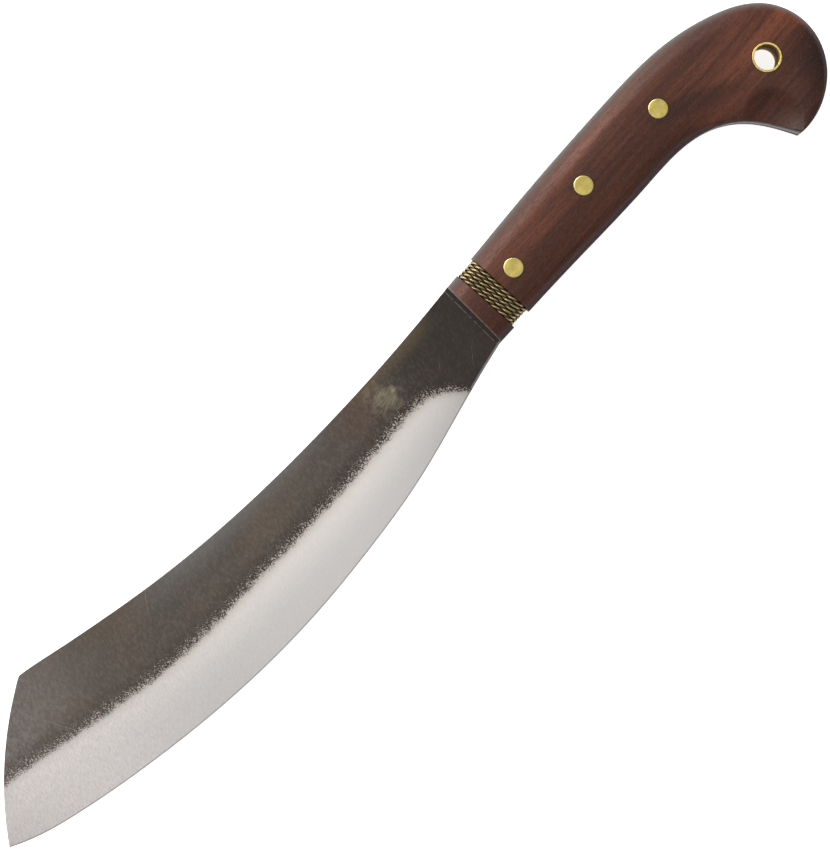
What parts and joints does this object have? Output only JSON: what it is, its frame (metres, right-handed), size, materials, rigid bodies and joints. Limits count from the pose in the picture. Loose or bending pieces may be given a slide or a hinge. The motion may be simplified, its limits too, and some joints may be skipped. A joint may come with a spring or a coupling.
{
  "type": "parang machete",
  "caption": "Short full-tang chopping knife: deep blade with an angled end and ground edge, hooked wooden handle, brass pins, lanyard tube and twisted wire wrap.",
  "frame": {"origin": "middle of the handle's front face, on the middle plane of the steel", "axes": "+X from the handle to the tip, +Y to the cutting edge, +Z out of the knife's left side"},
  "size_m": [0.4232, 0.0793, 0.024],
  "materials": {
    "blade_steel": "black forge scale with a bright ground edge",
    "wood": "oiled, dark reddish brown",
    "pin_brass": "sanded flush",
    "tube_brass": "polished",
    "wire_brass": "aged, dark between the strands"
  },
  "bodies": {
    "root": {"blade": "blade_steel", "left_scale": "wood", "right_scale": "wood", "front_pin": "pin_brass", "middle_pin": "pin_brass", "rear_pin": "pin_brass", "lanyard_tube": "tube_brass", "wire_wrap": "wire_brass"}
  },
  "joints": []
}
